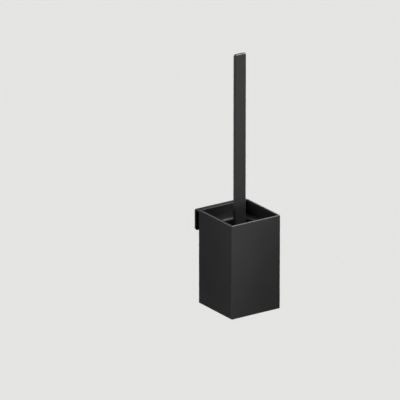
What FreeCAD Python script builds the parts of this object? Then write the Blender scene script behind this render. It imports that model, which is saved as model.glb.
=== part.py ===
import FreeCAD, Part
import math
import os

# Wall-hung toilet brush holder: a square steel box on a bent steel wall bracket, with a moulded
# liner and a brush whose flat bar handle stands up out of the box. Lengths are millimetres.
# X runs along the wall, the wall is the plane Y = 0 with the holder on its -Y side, and Z is up.
# The origin is on the wall, midway between the bracket's two screw holes.

# Wall bracket
WIDTH = 85.0  # bracket and box
BRACKET_SHEET = 3.0
PLATE_HEIGHT = 34.0
PLATE_CORNER = 4.0
STAND_OFF = 11.0  # wall to the box's back
BRACKET_GAP = 0.2  # flange edge to the box's back
SHEET_BEND = 1.0  # inside radius of the bracket's bend
EDGE_BREAK = 0.3
SCREW_SPACING = 60.0
SCREW_HOLE_R = 2.6

# Hook on the bracket and hanger on the box, both bent from thin strip
STRIP = 1.5
STRIP_BEND = 0.5
HOOK_WIDTH = 40.0
HOOK_TOP_Z = 1.5
HOOK_OVERLAP = 6.5
HOOK_STEP_Z = -7.0
HOOK_FOOT_Z = -15.0
HOOK_FRONT = 8.0  # front face of the hook's tongue, from the wall
HANGER_BACK = 4.0  # back face of the hanger's tongue, from the wall
HANGER_FOOT_Z = -13.0

# Box
BOX_HEIGHT = 144.5
BOX_SHEET = 3.0
BOX_CORNER = 0.6
RIM_ROUND = 0.9
RIM_ROUND_INSIDE = 0.4
RIM_ABOVE_BRACKET = 0.9

# Wall bumpers, pushed into the lower back of the box
BUMPER_SPACING = 50.0
BUMPER_UP = 18.0
BUMPER_R = 6.0
BUMPER_STEM_R = 3.0
BUMPER_BARB_R = 3.8
BUMPER_BARB = 1.6
BUMPER_FIT = 0.05

# Liner
LINER_DROP = 19.0  # box rim to the liner's top
LINER_PLAY = 0.3
LINER_WALL = 2.0
LINER_FLOOR = 2.5
LINER_CORNER = 1.5
SKIRT_HEIGHT = 8.0
SKIRT_WALL = 1.6
MOUTH_R = 29.5
MOUTH_ROUND = 3.6
WELL_FLOOR_R = 29.0
WELL_BEND = 5.0

# Brush head
BRUSH_UP = 0.5  # bristle tips over the liner's floor
BRISTLE_R = 27.5
BRISTLE_LENGTH = 76.0
BRISTLE_TOP_ROUND = 8.0
BRISTLE_END_ROUND = 12.0
END_TUFTS = 16.0
CORE_R = 12.0
CORE_ROUND = 2.0
CORE_NECK = 9.0
CORE_GAP = 0.1
INSERT_R = 6.0
INSERT_LENGTH = 14.0
INSERT_GROOVE_R = 5.4
INSERT_GROOVE = 2.0
INSERT_FIT = 0.02

# Handle
STUD_R = 4.0
STUD_FIT = 0.05
STUD_REACH = 12.0  # below the seal washer
STUD_SOCKET = 5.0
SEAL_THICK = 1.5
SEAL_R = 10.0
SEAL_HOLE_R = 4.3
COLLAR_R = 11.0
COLLAR_HEIGHT = 12.0
COLLAR_ROUND = 1.0
BAR_WIDTH = 20.0
BAR_THICK = 5.0
BAR_CORNER = 3.0
BAR_EDGE = 1.8
BAR_SOCKET = 5.0
BAR_FIT = 0.05
OVERALL_HEIGHT = 388.0

# Levels and lines worked out from the sizes above
RIM_Z = PLATE_HEIGHT / 2 + RIM_ABOVE_BRACKET
FLOOR_Z = RIM_Z - BOX_HEIGHT
BACK_Y = -STAND_OFF
FRONT_Y = BACK_Y - WIDTH
AXIS_Y = (BACK_Y + FRONT_Y) / 2
LINER_FOOT_Z = FLOOR_Z + BOX_SHEET
LINER_TOP_Z = RIM_Z - LINER_DROP
TIP_Z = LINER_FOOT_Z + LINER_FLOOR + BRUSH_UP
BRISTLE_TOP_Z = TIP_Z + BRISTLE_LENGTH
CORE_LOW_Z = TIP_Z + END_TUFTS
CORE_TOP_Z = BRISTLE_TOP_Z + CORE_NECK
COLLAR_LOW_Z = CORE_TOP_Z + SEAL_THICK
COLLAR_TOP_Z = COLLAR_LOW_Z + COLLAR_HEIGHT
BAR_TOP_Z = FLOOR_Z + OVERALL_HEIGHT


def block(width, y_low, y_high, z_low, z_high):
    """A box centred on the wall's middle line."""
    corner = FreeCAD.Vector(-width / 2, y_low, z_low)
    return Part.makeBox(width, y_high - y_low, z_high - z_low, corner)


def column(radius, z_low, z_high):
    """An upright cylinder on the brush's axis."""
    foot = FreeCAD.Vector(0, AXIS_Y, z_low)
    return Part.makeCylinder(radius, z_high - z_low, foot)


def across(radius, x, z, y_high, y_low):
    """A cylinder that runs straight out from the wall, from y_high to y_low."""
    start = FreeCAD.Vector(x, y_high, z)
    return Part.makeCylinder(radius, y_high - y_low, start, FreeCAD.Vector(0, -1, 0))


def rounded_face(corners, place):
    """A flat face through corners (u, v, radius), each rounded by an arc of its own radius."""
    points = [place(u, v) for u, v, _ in corners]
    spans = []
    arcs = []
    for index, (_, _, radius) in enumerate(corners):
        here = points[index]
        back = (points[index - 1] - here).normalize()
        ahead = (points[(index + 1) % len(points)] - here).normalize()
        half = back.getAngle(ahead) / 2
        reach = radius / math.tan(half)
        start = here + back * reach
        end = here + ahead * reach
        spans.append((start, end))
        if radius:
            centre = here + (back + ahead).normalize() * (radius / math.sin(half))
            middle = centre + (here - centre).normalize() * radius
            arcs.append(Part.Arc(start, middle, end).toShape())
    lines = []
    for index, (_, end) in enumerate(spans):
        start = spans[(index + 1) % len(spans)][0]
        lines.append(Part.LineSegment(end, start).toShape())
    edges = Part.__sortEdges__(arcs + lines)
    return Part.Face(Part.Wire(edges))


def bent(corners, width):
    """A bent strip: its outline across the bends, given as (distance from the wall, z, radius)."""
    face = rounded_face(corners, lambda y, z: FreeCAD.Vector(-width / 2, -y, z))
    return face.extrude(FreeCAD.Vector(width, 0, 0))


def turned(corners):
    """A solid of revolution about the brush's axis, from an outline of (radius, z, rounding)."""
    face = rounded_face(corners, lambda r, z: FreeCAD.Vector(r, AXIS_Y, z))
    return face.revolve(FreeCAD.Vector(0, AXIS_Y, 0), FreeCAD.Vector(0, 0, 1), 360)


def runs_along(edge, axis):
    """True if the edge is straight and parallel to the axis, 0 for X, 1 for Y, 2 for Z."""
    if len(edge.Vertexes) != 2:
        return False
    step = edge.Vertexes[1].Point - edge.Vertexes[0].Point
    return abs(abs(step[axis]) - edge.Length) < 1e-6


def at_level(edge, z):
    """True if the whole edge lies at this height."""
    return abs(edge.BoundBox.ZMin - z) < 1e-6 and abs(edge.BoundBox.ZMax - z) < 1e-6


def upright_rounded(shape, radius):
    """The shape with its upright edges rounded."""
    return shape.makeFillet(radius, [e for e in shape.Edges if runs_along(e, 2)])


def wall_bracket():
    """The plate on the wall and the flange that reaches forward to the box's back."""
    low = -PLATE_HEIGHT / 2
    high = PLATE_HEIGHT / 2
    reach = STAND_OFF - BRACKET_GAP
    sheet = bent(
        [
            (0, low, 0),
            (0, high, SHEET_BEND + BRACKET_SHEET),
            (reach, high, 0),
            (reach, high - BRACKET_SHEET, 0),
            (BRACKET_SHEET, high - BRACKET_SHEET, SHEET_BEND),
            (BRACKET_SHEET, low, 0),
        ],
        WIDTH,
    )
    corners = [e for e in sheet.Edges if runs_along(e, 1) and at_level(e, low)]
    sheet = sheet.makeFillet(PLATE_CORNER, corners)
    sheet = sheet.makeChamfer(EDGE_BREAK, [e for e in sheet.Edges if shows(e)])
    for side in (-1, 1):
        hole = across(SCREW_HOLE_R, side * SCREW_SPACING / 2, 0, 1, -BRACKET_SHEET - 1)
        sheet = sheet.cut(hole)
    return sheet


def shows(edge):
    """True for the bracket's edges that face the room: all but those on the wall."""
    return edge.BoundBox.YMin < -EDGE_BREAK


def bracket_hook():
    """The strip welded to the plate, with the upward tongue that carries the box."""
    return bent(
        [
            (BRACKET_SHEET, HOOK_FOOT_Z, 0),
            (BRACKET_SHEET, HOOK_STEP_Z, STRIP_BEND),
            (HOOK_FRONT - STRIP, HOOK_STEP_Z, STRIP_BEND),
            (HOOK_FRONT - STRIP, HOOK_TOP_Z, 0),
            (HOOK_FRONT, HOOK_TOP_Z, 0),
            (HOOK_FRONT, HOOK_STEP_Z - STRIP, STRIP_BEND + STRIP),
            (BRACKET_SHEET + STRIP, HOOK_STEP_Z - STRIP, STRIP_BEND),
            (BRACKET_SHEET + STRIP, HOOK_FOOT_Z, 0),
        ],
        HOOK_WIDTH,
    )


def hanger_strip():
    """The channel welded to the box's back, open downwards, that drops over the hook."""
    top = HOOK_TOP_Z + STRIP
    return bent(
        [
            (HANGER_BACK, HOOK_TOP_Z - HOOK_OVERLAP, 0),
            (HANGER_BACK, top, STRIP_BEND + STRIP),
            (STAND_OFF, top, STRIP_BEND + STRIP),
            (STAND_OFF, HANGER_FOOT_Z, 0),
            (STAND_OFF - STRIP, HANGER_FOOT_Z, 0),
            (STAND_OFF - STRIP, HOOK_TOP_Z, STRIP_BEND),
            (HANGER_BACK + STRIP, HOOK_TOP_Z, STRIP_BEND),
            (HANGER_BACK + STRIP, HOOK_TOP_Z - HOOK_OVERLAP, 0),
        ],
        HOOK_WIDTH,
    )


def box_shell():
    """Four walls folded from one sheet, with rounded rim and two holes for the bumpers."""
    outer = upright_rounded(block(WIDTH, FRONT_Y, BACK_Y, FLOOR_Z, RIM_Z), BOX_CORNER)
    walls = outer.cut(box_inside(FLOOR_Z - 1, RIM_Z + 1))
    rim_inside = [e for e in walls.Edges if at_level(e, RIM_Z) and not outside(e)]
    walls = walls.makeFillet(RIM_ROUND_INSIDE, rim_inside)
    for level in (FLOOR_Z, RIM_Z):
        outline = [e for e in walls.Edges if at_level(e, level) and outside(e)]
        walls = walls.makeFillet(RIM_ROUND, outline)
    for x in bumper_places():
        hole = across(BUMPER_STEM_R + BUMPER_FIT, x, bumper_z(), BACK_Y + 1, BACK_Y - BOX_SHEET - 1)
        walls = walls.cut(hole)
    return walls


def box_inside(z_low, z_high):
    """The space between the box's four walls."""
    width = WIDTH - 2 * BOX_SHEET
    return block(width, FRONT_Y + BOX_SHEET, BACK_Y - BOX_SHEET, z_low, z_high)


def outside(edge):
    """True for an edge on the box's outer outline."""
    middle = edge.CenterOfMass
    inner = (WIDTH - BOX_SHEET) / 2
    return abs(middle.x) > inner or abs(middle.y - AXIS_Y) > inner


def base_plate():
    """The floor, set in between the walls and welded round."""
    return box_inside(FLOOR_Z, FLOOR_Z + BOX_SHEET)


def bumper_places():
    return (-BUMPER_SPACING / 2, BUMPER_SPACING / 2)


def bumper_z():
    return FLOOR_Z + BUMPER_UP


def wall_bumpers():
    """Two rubber buffers, pushed into the box's back, that rest on the wall."""
    z = bumper_z()
    inner_y = BACK_Y - BOX_SHEET - BUMPER_FIT
    bumpers = []
    for x in bumper_places():
        head = across(BUMPER_R, x, z, 0, BACK_Y)
        head = head.makeFillet(1.0, [e for e in head.Edges if abs(e.BoundBox.YMax) < 1e-6])
        stem = across(BUMPER_STEM_R, x, z, BACK_Y + 1, inner_y)
        barb = across(BUMPER_BARB_R, x, z, inner_y, inner_y - BUMPER_BARB)
        bumpers.append(head.fuse([stem, barb]).removeSplitter())
    return Part.makeCompound(bumpers)


def liner():
    """The moulded insert: a square flange with a short skirt, and a round well below its mouth."""
    lip_r = MOUTH_R + LINER_WALL
    foot_r = WELL_FLOOR_R + LINER_WALL
    inner_floor = LINER_FOOT_Z + LINER_FLOOR
    well = turned(
        [
            (0, LINER_FOOT_Z, 0),
            (foot_r, LINER_FOOT_Z, WELL_BEND + LINER_WALL),
            (lip_r, LINER_TOP_Z - LINER_WALL, MOUTH_ROUND),
            (lip_r + MOUTH_ROUND + LINER_WALL, LINER_TOP_Z - LINER_WALL, 0),
            (lip_r + MOUTH_ROUND + LINER_WALL, LINER_TOP_Z, 0),
            (MOUTH_R, LINER_TOP_Z, MOUTH_ROUND),
            (WELL_FLOOR_R, inner_floor, WELL_BEND),
            (0, inner_floor, 0),
        ]
    )
    flange = upright_rounded(liner_block(0, LINER_WALL), LINER_CORNER)
    flange = flange.cut(column(lip_r + MOUTH_ROUND, FLOOR_Z, RIM_Z))
    skirt = upright_rounded(liner_block(0, SKIRT_HEIGHT), LINER_CORNER)
    skirt = skirt.cut(liner_block(SKIRT_WALL, SKIRT_HEIGHT + 1))
    moulding = well.fuse([flange, skirt]).removeSplitter()
    return moulding


def liner_block(inset, depth):
    """A square block below the liner's top, inset from the flange's edge."""
    half = WIDTH / 2 - BOX_SHEET - LINER_PLAY - inset
    return block(2 * half, AXIS_Y - half, AXIS_Y + half, LINER_TOP_Z - depth, LINER_TOP_Z)


def brush_core():
    """The moulded core that the tufts are set in, with a pocket for the threaded insert."""
    core = turned(
        [
            (0, CORE_LOW_Z, 0),
            (CORE_R, CORE_LOW_Z, CORE_ROUND),
            (CORE_R, CORE_TOP_Z, CORE_ROUND / 2),
            (0, CORE_TOP_Z, 0),
        ]
    )
    pocket = column(INSERT_R + INSERT_FIT, CORE_TOP_Z - INSERT_LENGTH - INSERT_FIT, CORE_TOP_Z + 1)
    return core.cut(pocket)


def threaded_insert():
    """The bush moulded into the core, grooved to hold in the plastic. Its thread is a plain bore."""
    low = CORE_TOP_Z - INSERT_LENGTH
    bush = column(INSERT_R, low, CORE_TOP_Z)
    groove_low = low + (INSERT_LENGTH - INSERT_GROOVE) / 2
    groove = column(INSERT_R + 1, groove_low, groove_low + INSERT_GROOVE)
    groove = groove.cut(column(INSERT_GROOVE_R, groove_low, groove_low + INSERT_GROOVE))
    bush = bush.cut(groove)
    return bush.cut(column(STUD_R + STUD_FIT, low - 1, CORE_TOP_Z + 1))


def side_bristles():
    """The space that the tufts round the core fill."""
    return turned(
        [
            (CORE_R + CORE_GAP, CORE_LOW_Z, 0),
            (BRISTLE_R, CORE_LOW_Z, 0),
            (BRISTLE_R, BRISTLE_TOP_Z, BRISTLE_TOP_ROUND),
            (CORE_R + CORE_GAP, BRISTLE_TOP_Z, 0),
        ]
    )


def end_bristles():
    """The space that the tufts below the core fill."""
    return turned(
        [
            (0, TIP_Z, 0),
            (BRISTLE_R, TIP_Z, BRISTLE_END_ROUND),
            (BRISTLE_R, CORE_LOW_Z - CORE_GAP, 0),
            (0, CORE_LOW_Z - CORE_GAP, 0),
        ]
    )


def seal_washer():
    """The rubber washer between the brush's core and the handle's collar."""
    ring = column(SEAL_R, CORE_TOP_Z, COLLAR_LOW_Z)
    return ring.cut(column(SEAL_HOLE_R, CORE_TOP_Z - 1, COLLAR_LOW_Z + 1))


def handle_stud():
    """The threaded stud under the collar, as a plain rod of the thread's outside size."""
    low = CORE_TOP_Z - STUD_REACH
    high = COLLAR_LOW_Z + STUD_SOCKET
    rod = column(STUD_R, low, high)
    return rod.makeChamfer(STUD_R / 5, [e for e in rod.Edges if at_level(e, low)])


def handle_collar():
    """The turned collar: a socket below for the stud, and a slot above for the bar."""
    collar = column(COLLAR_R, COLLAR_LOW_Z, COLLAR_TOP_Z)
    rims = [e for e in collar.Edges if at_level(e, COLLAR_LOW_Z) or at_level(e, COLLAR_TOP_Z)]
    collar = collar.makeFillet(COLLAR_ROUND, rims)
    collar = collar.cut(column(STUD_R + STUD_FIT, COLLAR_LOW_Z - 1, COLLAR_LOW_Z + STUD_SOCKET))
    half = BAR_THICK / 2 + BAR_FIT
    slot = block(
        BAR_WIDTH + 2 * BAR_FIT, AXIS_Y - half, AXIS_Y + half, COLLAR_TOP_Z - BAR_SOCKET, BAR_TOP_Z
    )
    return collar.cut(slot)


def handle_bar():
    """The flat bar, upright across the box, with rounded top corners and softened edges."""
    half = BAR_THICK / 2
    low = COLLAR_TOP_Z - BAR_SOCKET
    bar = block(BAR_WIDTH, AXIS_Y - half, AXIS_Y + half, low, BAR_TOP_Z)
    top_corners = [e for e in bar.Edges if runs_along(e, 1) and at_level(e, BAR_TOP_Z)]
    bar = bar.makeFillet(BAR_CORNER, top_corners)
    outline = [e for e in bar.Edges if not runs_along(e, 1) and not at_level(e, low)]
    return bar.makeFillet(BAR_EDGE, outline)


SUBPARTS = (
    wall_bracket,
    bracket_hook,
    box_shell,
    base_plate,
    hanger_strip,
    wall_bumpers,
    liner,
    brush_core,
    threaded_insert,
    side_bristles,
    end_bristles,
    seal_washer,
    handle_stud,
    handle_collar,
    handle_bar,
)

os.makedirs("parts", exist_ok=True)
for subpart in SUBPARTS:
    shape = subpart()
    if not shape.isValid():
        raise ValueError(subpart.__name__ + " is not a valid shape")
    shape.exportStep("parts/" + subpart.__name__ + ".step")
    print(subpart.__name__, len(shape.Solids), "solids", round(shape.Volume, 1), "mm3")
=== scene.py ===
import math
import random

import bpy
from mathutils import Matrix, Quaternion, Vector


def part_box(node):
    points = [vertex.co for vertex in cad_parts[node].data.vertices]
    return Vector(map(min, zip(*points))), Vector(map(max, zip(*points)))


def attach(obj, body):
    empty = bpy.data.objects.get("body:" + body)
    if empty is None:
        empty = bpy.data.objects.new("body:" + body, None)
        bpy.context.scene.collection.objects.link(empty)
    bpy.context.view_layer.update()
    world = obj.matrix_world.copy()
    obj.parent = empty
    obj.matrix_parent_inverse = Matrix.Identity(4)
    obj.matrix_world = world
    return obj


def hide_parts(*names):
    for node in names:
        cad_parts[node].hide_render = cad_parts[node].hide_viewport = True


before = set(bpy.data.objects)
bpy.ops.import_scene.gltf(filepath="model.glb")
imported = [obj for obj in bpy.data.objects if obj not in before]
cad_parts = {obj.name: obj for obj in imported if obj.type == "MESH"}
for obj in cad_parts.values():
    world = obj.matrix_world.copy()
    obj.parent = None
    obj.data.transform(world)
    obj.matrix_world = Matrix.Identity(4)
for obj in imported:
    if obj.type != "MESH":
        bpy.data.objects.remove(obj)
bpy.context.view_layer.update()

# Wall bracket: a plate on the wall and a flange bent forward over the top of it, in 3 mm steel,
# with a hook strip spot-welded to the plate. Both are powder-coated together, satin black.
COAT_BLACK = (0.0092, 0.0092, 0.0095, 1)
COAT_DUSTY = (0.0110, 0.0109, 0.0111, 1)
COAT_ROUGHNESS = (0.33, 0.355)
DUST_SIZE = 0.035
PEEL_SIZE = 0.0011
PEEL_HEIGHT = 0.00003
GRAIN_SIZE = 0.00022
GRAIN_HEIGHT = 0.000012
NOISE_LOW = 0.3
NOISE_HIGH = 0.7


def new_material(name):
    """A node material: the tree's nodes, a linking function, and its Principled node."""
    material = bpy.data.materials.new(name)
    material.use_nodes = True
    nodes = material.node_tree.nodes
    shader = nodes["Principled BSDF"]
    return material, nodes, material.node_tree.links.new, shader


def noise(nodes, link, size, detail=2.0):
    """Noise whose features are about size metres across, in the object's own space."""
    place = nodes.new("ShaderNodeTexCoord")
    texture = nodes.new("ShaderNodeTexNoise")
    texture.inputs["Scale"].default_value = 1 / size
    texture.inputs["Detail"].default_value = detail
    link(place.outputs["Object"], texture.inputs["Vector"])
    return texture.outputs["Fac"]


def spread(nodes, link, value, low, high):
    """A noise value stretched so that nearly all of it lies from low to high."""
    ranged = nodes.new("ShaderNodeMapRange")
    ranged.inputs["From Min"].default_value = NOISE_LOW
    ranged.inputs["From Max"].default_value = NOISE_HIGH
    ranged.inputs["To Min"].default_value = low
    ranged.inputs["To Max"].default_value = high
    link(value, ranged.inputs["Value"])
    return ranged.outputs["Result"]


def blend_colours(nodes, link, value, first, second):
    """A colour between first and second, by a noise value."""
    ramp = nodes.new("ShaderNodeValToRGB")
    ramp.color_ramp.elements[0].position = NOISE_LOW
    ramp.color_ramp.elements[0].color = first
    ramp.color_ramp.elements[1].position = NOISE_HIGH
    ramp.color_ramp.elements[1].color = second
    link(value, ramp.inputs["Fac"])
    return ramp.outputs["Color"]


def bumps(nodes, link, shader, layers):
    """Bump layers, each a height pattern and its height in metres, one upon the other."""
    normal = None
    for height, metres in layers:
        bump = nodes.new("ShaderNodeBump")
        bump.inputs["Distance"].default_value = metres
        link(height, bump.inputs["Height"])
        if normal:
            link(normal, bump.inputs["Normal"])
        normal = bump.outputs["Normal"]
    link(normal, shader.inputs["Normal"])


def powder_coat():
    """Satin black powder coat: a soft orange peel under a fine grain, with a breath of dust."""
    material, nodes, link, shader = new_material("satin_black_powder_coat")
    dust = noise(nodes, link, DUST_SIZE, detail=4)
    peel = noise(nodes, link, PEEL_SIZE)
    grain = noise(nodes, link, GRAIN_SIZE)
    link(blend_colours(nodes, link, dust, COAT_BLACK, COAT_DUSTY), shader.inputs["Base Color"])
    link(spread(nodes, link, dust, *COAT_ROUGHNESS), shader.inputs["Roughness"])
    bumps(nodes, link, shader, [(peel, PEEL_HEIGHT), (grain, GRAIN_HEIGHT)])
    return material


def finish_node(name, material):
    """Gives a frame node its finish."""
    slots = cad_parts[name].data.materials
    slots.clear()
    slots.append(material)


coat = powder_coat()
finish_node("wall_bracket", coat)
finish_node("bracket_hook", coat)

# Box: four walls folded from one 3 mm sheet, a floor plate and a hanger channel welded on, the
# edges eased and the whole box coated in one pass, inside and out.
finish_node("box_shell", coat)
finish_node("base_plate", coat)
finish_node("hanger_strip", coat)

# Wall bumpers: two moulded black rubber buffers pushed into the box's lower back, matt and
# slightly bloomed, as rubber is.
RUBBER_BLACK = (0.012, 0.012, 0.012, 1)
RUBBER_BLOOM = (0.03, 0.03, 0.031, 1)
RUBBER_ROUGHNESS = (0.7, 0.9)
BLOOM_SIZE = 0.004
SKIN_SIZE = 0.0004
SKIN_HEIGHT = 0.00001


def black_rubber():
    """Matt moulded rubber with a pale bloom and a fine skin."""
    material, nodes, link, shader = new_material("matt_black_rubber")
    bloom = noise(nodes, link, BLOOM_SIZE, detail=3)
    skin = noise(nodes, link, SKIN_SIZE)
    link(blend_colours(nodes, link, bloom, RUBBER_BLACK, RUBBER_BLOOM), shader.inputs["Base Color"])
    link(spread(nodes, link, bloom, *RUBBER_ROUGHNESS), shader.inputs["Roughness"])
    bumps(nodes, link, shader, [(skin, SKIN_HEIGHT)])
    return material


rubber = black_rubber()
finish_node("wall_bumpers", rubber)

# Liner: an injection-moulded insert in black polypropylene, with a square flange that fills the
# box and a round well under its mouth. It has a fine spark-eroded texture and lifts out to wash.
PLASTIC_BLACK = (0.0042, 0.0042, 0.0044, 1)
PLASTIC_GREY = (0.0068, 0.0068, 0.0070, 1)
PLASTIC_ROUGHNESS = (0.32, 0.42)
PLASTIC_SPECULAR = 0.15
FLOW_SIZE = 0.02
SPARK_SIZE = 0.00035
SPARK_HEIGHT = 0.000006


def moulded_plastic():
    """Black moulded plastic with the fine even texture of a spark-eroded mould."""
    material, nodes, link, shader = new_material("moulded_black_plastic")
    flow = noise(nodes, link, FLOW_SIZE, detail=3)
    spark = noise(nodes, link, SPARK_SIZE)
    link(blend_colours(nodes, link, flow, PLASTIC_BLACK, PLASTIC_GREY), shader.inputs["Base Color"])
    link(spread(nodes, link, flow, *PLASTIC_ROUGHNESS), shader.inputs["Roughness"])
    shader.inputs["Specular IOR Level"].default_value = PLASTIC_SPECULAR
    bumps(nodes, link, shader, [(spark, SPARK_HEIGHT)])
    return material


plastic = moulded_plastic()
finish_node("liner", plastic)

# Brush head: a moulded core drilled for round tufts of black nylon filaments, in staggered rows
# round its side and in rings over its lower end. A turned brass bush is moulded into its top.
NYLON_BLACK = (0.009, 0.009, 0.0095, 1)
NYLON_GREY = (0.021, 0.021, 0.022, 1)
NYLON_ROUGHNESS = (0.3, 0.5)
STRAND_SIZE = 0.0012
DRAWN_SIZE = 0.0003
DRAWN_HEIGHT = 0.00001
BRASS_PALE = (0.76, 0.56, 0.27, 1)
BRASS_DEEP = (0.58, 0.40, 0.17, 1)
BRASS_ROUGHNESS = (0.22, 0.4)
DULL_SIZE = 0.003
TURNING_PITCH = 0.0003
TURNING_WAVER = 0.6
TURNING_HEIGHT = 0.00001
FILAMENT_R = 0.00021
FILAMENTS = 34
FILAMENT_SINK = 0.0008
TIP_TAPER = 0.75
TIP_ROOM = 0.0003
BOW = 0.0006
BOW_AT = 0.55
GROW_STEP = 0.00025
TRIM_STEPS = (0.5, 3.5)
TUFT_R = 0.0013
SIDE_ROWS = 11
SIDE_TUFTS = 17
FIRST_ROW = 0.0032
ROW_STEP = 0.0052
LOW_SPREAD = 0.003
SIDE_FAN = 0.34
SIDE_LEAN = 0.24
SIDE_STRAY = 0.05
LOW_LEAN = 0.15
TOP_ROUND = 0.008
END_ROUND = 0.012
# Rings of end tufts: radius, number of tufts, and how far they lean outward for each unit down
END_RINGS = (
    (0, 1, 0),
    (0.0037, 6, 0.3),
    (0.0074, 12, 0.62),
    (0.0103, 16, 1.0),
    (0.0112, 18, 1.75),
)
END_SPLAY = 0.1
random.seed(11)


def nylon():
    """Black nylon filament, with a soft gloss along it and some filaments greyer than others."""
    material, nodes, link, shader = new_material("black_nylon_filament")
    strand = noise(nodes, link, STRAND_SIZE, detail=3)
    drawn = noise(nodes, link, DRAWN_SIZE)
    link(blend_colours(nodes, link, strand, NYLON_BLACK, NYLON_GREY), shader.inputs["Base Color"])
    link(spread(nodes, link, strand, *NYLON_ROUGHNESS), shader.inputs["Roughness"])
    bumps(nodes, link, shader, [(drawn, DRAWN_HEIGHT)])
    return material


def rings_cut(nodes, link):
    """Fine rings round the brush's axis, as a lathe leaves them."""
    place = nodes.new("ShaderNodeTexCoord")
    wave = nodes.new("ShaderNodeTexWave")
    wave.bands_direction = "Z"
    wave.inputs["Scale"].default_value = 1 / (2 * TURNING_PITCH)
    wave.inputs["Distortion"].default_value = TURNING_WAVER
    link(place.outputs["Object"], wave.inputs["Vector"])
    return wave.outputs["Fac"]


def turned_brass():
    """Turned brass, slightly dulled, with the lathe's fine rings."""
    material, nodes, link, shader = new_material("turned_brass")
    shader.inputs["Metallic"].default_value = 1.0
    dull = noise(nodes, link, DULL_SIZE, detail=4)
    link(blend_colours(nodes, link, dull, BRASS_PALE, BRASS_DEEP), shader.inputs["Base Color"])
    link(spread(nodes, link, dull, *BRASS_ROUGHNESS), shader.inputs["Roughness"])
    bumps(nodes, link, shader, [(rings_cut(nodes, link), TURNING_HEIGHT)])
    return material


def new_piece(name, points, faces, material):
    """A smooth-shaded piece made from points and faces."""
    mesh = bpy.data.meshes.new(name)
    mesh.from_pydata(points, [], faces)
    mesh.shade_smooth()
    mesh.materials.append(material)
    piece = bpy.data.objects.new(name, mesh)
    bpy.context.scene.collection.objects.link(piece)
    return piece


def add_filament(points, faces, root, tip):
    """Adds a four-sided filament with a slight bow, closed at both ends, finer at its tip."""
    along = (tip - root).normalized()
    side = along.orthogonal().normalized()
    side.rotate(Quaternion(along, random.uniform(0, math.pi)))
    other = along.cross(side)
    bow = side * random.uniform(-BOW, BOW) + other * random.uniform(-BOW, BOW)
    middle = root.lerp(tip, BOW_AT) + bow
    first = len(points)
    for centre, scale in ((root, 1), (middle, 1), (tip, TIP_TAPER)):
        for across in (side, other, -side, -other):
            points.append(centre + across * (FILAMENT_R * scale))
    for ring in (first, first + 4):
        for corner in range(4):
            after = (corner + 1) % 4
            faces.append((ring + corner, ring + after, ring + after + 4, ring + corner + 4))
    faces.append((first + 3, first + 2, first + 1, first))
    faces.append((first + 8, first + 9, first + 10, first + 11))


def in_disc(radius):
    """A random point of a disc, as two offsets."""
    angle = random.uniform(0, 2 * math.pi)
    reach = radius * math.sqrt(random.random())
    return reach * math.cos(angle), reach * math.sin(angle)


def grown(root, toward, inside):
    """The tip of a filament that grows from its root until it leaves the brush's outline."""
    tip = root + toward * FILAMENT_SINK
    while inside(tip):
        tip = tip + toward * GROW_STEP
    return tip - toward * random.uniform(*TRIM_STEPS) * GROW_STEP


def within_sides(point):
    """True inside the trimmed outline of the side tufts, which is rounded at its top."""
    over = max(0, point.z - (side_high.z - TIP_ROOM - TOP_ROUND))
    if over >= TOP_ROUND:
        return False
    pull = TOP_ROUND - math.sqrt(TOP_ROUND**2 - over**2)
    reach = math.hypot(point.x - axis.x, point.y - axis.y)
    return reach < bristle_r - TIP_ROOM - pull and point.z > side_low.z - LOW_SPREAD


def within_end(point):
    """True inside the trimmed outline of the end tufts, which is rounded at its foot."""
    reach = math.hypot(point.x - axis.x, point.y - axis.y)
    out = max(0, reach - (bristle_r - TIP_ROOM - END_ROUND))
    if out >= END_ROUND:
        return False
    lift = END_ROUND - math.sqrt(END_ROUND**2 - out**2)
    return point.z > end_low.z + TIP_ROOM + lift


def side_tufts():
    """Staggered rows of tufts that stand out from the core all round."""
    points, faces = [], []
    for row in range(SIDE_ROWS):
        height = side_low.z + FIRST_ROW + row * ROW_STEP
        for tuft in range(SIDE_TUFTS):
            turn = 2 * math.pi * (tuft + 0.5 * (row % 2)) / SIDE_TUFTS
            for _ in range(FILAMENTS):
                sideways, upward = in_disc(1)
                angle = turn + sideways * TUFT_R / core_r
                outward = Vector((math.cos(angle), math.sin(angle), 0))
                root = axis + outward * (core_r - FILAMENT_SINK)
                root.z = height + upward * TUFT_R
                fan = angle + sideways * SIDE_FAN + random.gauss(0, SIDE_STRAY)
                lean = upward * SIDE_LEAN + random.gauss(0, SIDE_STRAY)
                if row == 0:
                    lean -= LOW_LEAN
                toward = Vector((math.cos(fan), math.sin(fan), math.tan(lean))).normalized()
                add_filament(points, faces, root, grown(root, toward, within_sides))
    return new_piece("side_tufts", points, faces, nylon_black)


def end_tufts():
    """Rings of tufts below the core, leaning outward from the middle."""
    points, faces = [], []
    for reach, count, lean in END_RINGS:
        for tuft in range(count):
            turn = 2 * math.pi * tuft / count
            for _ in range(FILAMENTS):
                x, y = in_disc(TUFT_R)
                off = Vector((reach * math.cos(turn) + x, reach * math.sin(turn) + y, 0))
                root = axis + off
                root.z = end_high.z + FILAMENT_SINK
                toward = off * (lean / max(reach, TUFT_R))
                toward.x += random.gauss(0, END_SPLAY)
                toward.y += random.gauss(0, END_SPLAY)
                toward.z = -1
                toward.normalize()
                add_filament(points, faces, root, grown(root, toward, within_end))
    return new_piece("end_tufts", points, faces, nylon_black)


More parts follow.
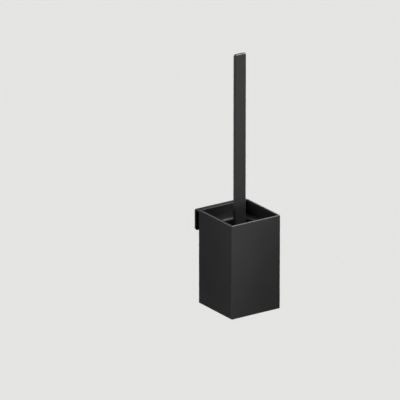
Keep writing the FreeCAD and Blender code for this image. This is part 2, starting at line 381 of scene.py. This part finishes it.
side_low, side_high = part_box("side_bristles")
end_low, end_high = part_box("end_bristles")
core_low, core_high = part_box("brush_core")
bristle_r = (side_high.x - side_low.x) / 2
core_r = (core_high.x - core_low.x) / 2
axis = (core_low + core_high) / 2
axis.z = 0
nylon_black = nylon()
brass = turned_brass()
finish_node("brush_core", plastic)
finish_node("threaded_insert", brass)
for tufts, stands_for in ((side_tufts(), "side_bristles"), (end_tufts(), "end_bristles")):
    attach(tufts, "brush_head")
    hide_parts(stands_for)

# Handle: a rubber washer, a stud with a rolled 8 mm thread and a turned collar, below a flat bar
# with rounded top corners and softened edges. Collar and bar are welded, and coated like the box.
STEEL_BRIGHT = (0.42, 0.42, 0.41, 1)
STEEL_GREY = (0.27, 0.27, 0.27, 1)
STEEL_ROUGHNESS = (0.3, 0.5)
PLATING_SIZE = 0.002
SCRATCH_SIZE = 0.0004
SCRATCH_HEIGHT = 0.000008
THREAD_PITCH = 0.00125
THREAD_DEPTH = 0.00072
THREAD_CREST = 0.1
THREAD_FLANK = 0.75
THREAD_LEAD = 1.2
THREAD_ROUND = 48
THREAD_STEPS = 10
BEAD_R = 0.0011
BEAD_HALF = 0.009
BEAD_RIPPLE = 0.0014
BEAD_SWELL = 0.035
BEAD_TAPER = 0.75
BEAD_TAPER_POWER = 12
BEAD_SINK = 0.0003
BEAD_STEPS = 120
BEAD_ARC = 8


def thread_steel():
    """Zinc-plated steel, with a grey bloom in places."""
    material, nodes, link, shader = new_material("plated_thread_steel")
    shader.inputs["Metallic"].default_value = 1.0
    plating = noise(nodes, link, PLATING_SIZE, detail=4)
    scratch = noise(nodes, link, SCRATCH_SIZE)
    link(blend_colours(nodes, link, plating, STEEL_BRIGHT, STEEL_GREY), shader.inputs["Base Color"])
    link(spread(nodes, link, plating, *STEEL_ROUGHNESS), shader.inputs["Roughness"])
    bumps(nodes, link, shader, [(scratch, SCRATCH_HEIGHT)])
    return material


def stud_thread(low, high):
    """A rod with a right-handed thread along all its length and a chamfered lower end."""
    radius = (high.x - low.x) / 2
    levels = round((high.z - low.z) / THREAD_PITCH * THREAD_STEPS)
    points, faces = [], []
    for level in range(levels + 1):
        z = low.z + (high.z - low.z) * level / levels
        for part in range(THREAD_ROUND):
            turn = 2 * math.pi * part / THREAD_ROUND
            phase = (z / THREAD_PITCH - part / THREAD_ROUND) % 1
            flank = min(1, max(0, (abs(2 * phase - 1) - THREAD_CREST) / THREAD_FLANK))
            reach = radius - THREAD_DEPTH * flank
            reach = min(reach, radius - THREAD_LEAD * THREAD_DEPTH + (z - low.z))
            points.append((axis.x + reach * math.cos(turn), axis.y + reach * math.sin(turn), z))
    for level in range(levels):
        for part in range(THREAD_ROUND):
            here = level * THREAD_ROUND + part
            after = level * THREAD_ROUND + (part + 1) % THREAD_ROUND
            faces.append((here, after, after + THREAD_ROUND, here + THREAD_ROUND))
    faces.append(tuple(reversed(range(THREAD_ROUND))))
    faces.append(tuple(levels * THREAD_ROUND + part for part in range(THREAD_ROUND)))
    return new_piece("stud_thread", points, faces, thread_steel())


def weld_beads(collar_top, bar_side):
    """A rippled weld bead along each long side of the bar, where it meets the collar's top."""
    points, faces = [], []
    ring = BEAD_ARC + 2
    for side in (-1, 1):
        first = len(points)
        for step in range(BEAD_STEPS + 1):
            along = 2 * step / BEAD_STEPS - 1
            x = axis.x + along * BEAD_HALF
            swell = 1 + BEAD_SWELL * math.cos(2 * math.pi * x / BEAD_RIPPLE)
            bead_r = BEAD_R * (swell - BEAD_TAPER * abs(along) ** BEAD_TAPER_POWER)
            corner_y = axis.y + side * (bar_side - BEAD_SINK)
            points.append((x, corner_y, collar_top - BEAD_SINK))
            for part in range(BEAD_ARC + 1):
                turn = math.pi / 2 * part / BEAD_ARC
                reach = BEAD_SINK + bead_r * math.cos(turn)
                rise = bead_r * math.sin(turn)
                points.append((x, corner_y + side * reach, collar_top + rise))
        for step in range(BEAD_STEPS):
            for part in range(ring):
                here = first + step * ring + part
                after = first + step * ring + (part + 1) % ring
                quad = (here, here + ring, after + ring, after)
                faces.append(quad if side < 0 else quad[::-1])
        ends = tuple(range(first, first + ring)), tuple(range(len(points) - ring, len(points)))
        faces.append(ends[0] if side < 0 else ends[0][::-1])
        faces.append(ends[1][::-1] if side < 0 else ends[1])
    return new_piece("bar_welds", points, faces, coat)


stud = stud_thread(*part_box("handle_stud"))
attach(stud, "handle")
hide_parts("handle_stud")
_, collar_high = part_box("handle_collar")
bar_low, bar_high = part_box("handle_bar")
welds = weld_beads(collar_high.z, (bar_high.y - bar_low.y) / 2)
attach(welds, "handle")
finish_node("seal_washer", rubber)
finish_node("handle_collar", coat)
finish_node("handle_bar", coat)

# Studio: a plain pale floor well below the holder, a dim surround with wide soft glows in it, of
# which the brightest is above and to the front right, two shading cards, and the camera.
FLOOR_DROP = 1.2
FLOOR_SIZE = 400.0
CARD_BLACK = (0.002, 0.002, 0.002, 1)
CARD_GREY = (0.25, 0.25, 0.25, 1)
LEFT_CARD = (
    (-0.10, 0.05, -0.35),
    (-0.10, -0.06, -0.35),
    (-0.10, -0.06, 0.03),
    (-0.10, 0.05, 0.03),
)
FRONT_CARD = (
    (-0.14, -0.26, -0.50),
    (0.60, -0.26, -0.40),
    (0.38, -0.26, 0.25),
    (0.13, -0.26, -0.05),
)
FLOOR_PALE = (0.308, 0.308, 0.308, 1)
SURROUND_BASE = (0.07, 0.07, 0.074)
# Glows: direction, cosine at which each is full, cosine at which it ends, and colour
GLOWS = (
    ((0.53, -0.78, -0.34), 0.99, 0.35, (0.74, 0.74, 0.74)),
    ((-0.97, -0.05, -0.22), 0.93, 0.60, (1.2, 1.2, 1.21)),
    ((0.45, 0.72, -0.54), 0.95, 0.70, (0.7, 0.7, 0.72)),
    ((-0.40, 0.78, 0.48), 0.97, 0.74, (2.4, 2.55, 2.8)),
    ((0.53, -0.34, 0.78), 0.97, 0.75, (10.4, 10.3, 10.0)),
)
CAMERA_AZIMUTH = math.radians(-34.06)
CAMERA_ELEVATION = math.radians(20.01)
CAMERA_DISTANCE = 11.619
CAMERA_AIM = Vector((-0.0336, -0.001, 0.0280))
CAMERA_LENS = 720.0
CAMERA_SIGHT = 500.0


def matt_card(name, corners, colour):
    """A flat matt card through four corners. It belongs to the studio."""
    mesh = bpy.data.meshes.new(name)
    mesh.from_pydata(corners, [], [(0, 1, 2, 3)])
    card = bpy.data.objects.new(name, mesh)
    bpy.context.scene.collection.objects.link(card)
    material, _, _, shader = new_material(name + "_matt")
    shader.inputs["Base Color"].default_value = colour
    shader.inputs["Roughness"].default_value = 1.0
    shader.inputs["Specular IOR Level"].default_value = 0.0
    mesh.materials.append(material)
    return card


def pale_floor(height):
    """A wide floor at this height. It is only a background, and lights nothing."""
    half = FLOOR_SIZE / 2
    sides = ((-half, -half), (half, -half), (half, half), (-half, half))
    floor = matt_card("studio_floor", [(x, y, height) for x, y in sides], FLOOR_PALE)
    floor.visible_diffuse = False
    floor.visible_glossy = False
    floor.visible_shadow = False


def shade_card(name, corners, colour, mirrored):
    """A card that keeps light off part of the holder. Only gloss can show it, if at all."""
    card = matt_card(name, corners, colour)
    card.visible_camera = False
    card.visible_glossy = mirrored


def glow(nodes, link, below, toward, full, none, colour):
    """The light below, plus a soft round glow about a direction, from full out to none."""
    place = nodes.new("ShaderNodeTexCoord")
    dot = nodes.new("ShaderNodeVectorMath")
    dot.operation = "DOT_PRODUCT"
    dot.inputs[1].default_value = Vector(toward).normalized()
    link(place.outputs["Generated"], dot.inputs[0])
    fade = nodes.new("ShaderNodeMapRange")
    fade.interpolation_type = "SMOOTHSTEP"
    fade.inputs["From Min"].default_value = none
    fade.inputs["From Max"].default_value = full
    link(dot.outputs["Value"], fade.inputs["Value"])
    add = nodes.new("ShaderNodeVectorMath")
    add.operation = "MULTIPLY_ADD"
    add.inputs[1].default_value = colour
    link(fade.outputs["Result"], add.inputs[0])
    if below:
        link(below, add.inputs[2])
    else:
        add.inputs[2].default_value = SURROUND_BASE
    return add.outputs["Vector"]


def soft_surround():
    """Even dim light from all round, with the studio's soft boxes as glows in it."""
    world = bpy.data.worlds.new("studio_surround")
    world.use_nodes = True
    nodes = world.node_tree.nodes
    link = world.node_tree.links.new
    light = None
    for toward, full, none, colour in GLOWS:
        light = glow(nodes, link, light, toward, full, none, colour)
    link(light, nodes["Background"].inputs["Color"])
    bpy.context.scene.world = world


def studio_camera():
    """A long lens that looks down at the holder from the front left."""
    data = bpy.data.cameras.new("studio_camera")
    data.lens = CAMERA_LENS
    data.clip_end = CAMERA_SIGHT
    camera = bpy.data.objects.new("studio_camera", data)
    back = Vector(
        (
            math.sin(CAMERA_AZIMUTH) * math.cos(CAMERA_ELEVATION),
            -math.cos(CAMERA_AZIMUTH) * math.cos(CAMERA_ELEVATION),
            math.sin(CAMERA_ELEVATION),
        )
    )
    camera.location = CAMERA_AIM + back * CAMERA_DISTANCE
    camera.rotation_euler = (-back).to_track_quat("-Z", "Y").to_euler()
    bpy.context.scene.collection.objects.link(camera)
    bpy.context.scene.camera = camera


box_low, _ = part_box("box_shell")
pale_floor(box_low.z - FLOOR_DROP)
shade_card("left_card", LEFT_CARD, CARD_BLACK, False)
shade_card("front_card", FRONT_CARD, CARD_GREY, True)
soft_surround()
studio_camera()
bpy.context.scene.view_settings.view_transform = "Standard"
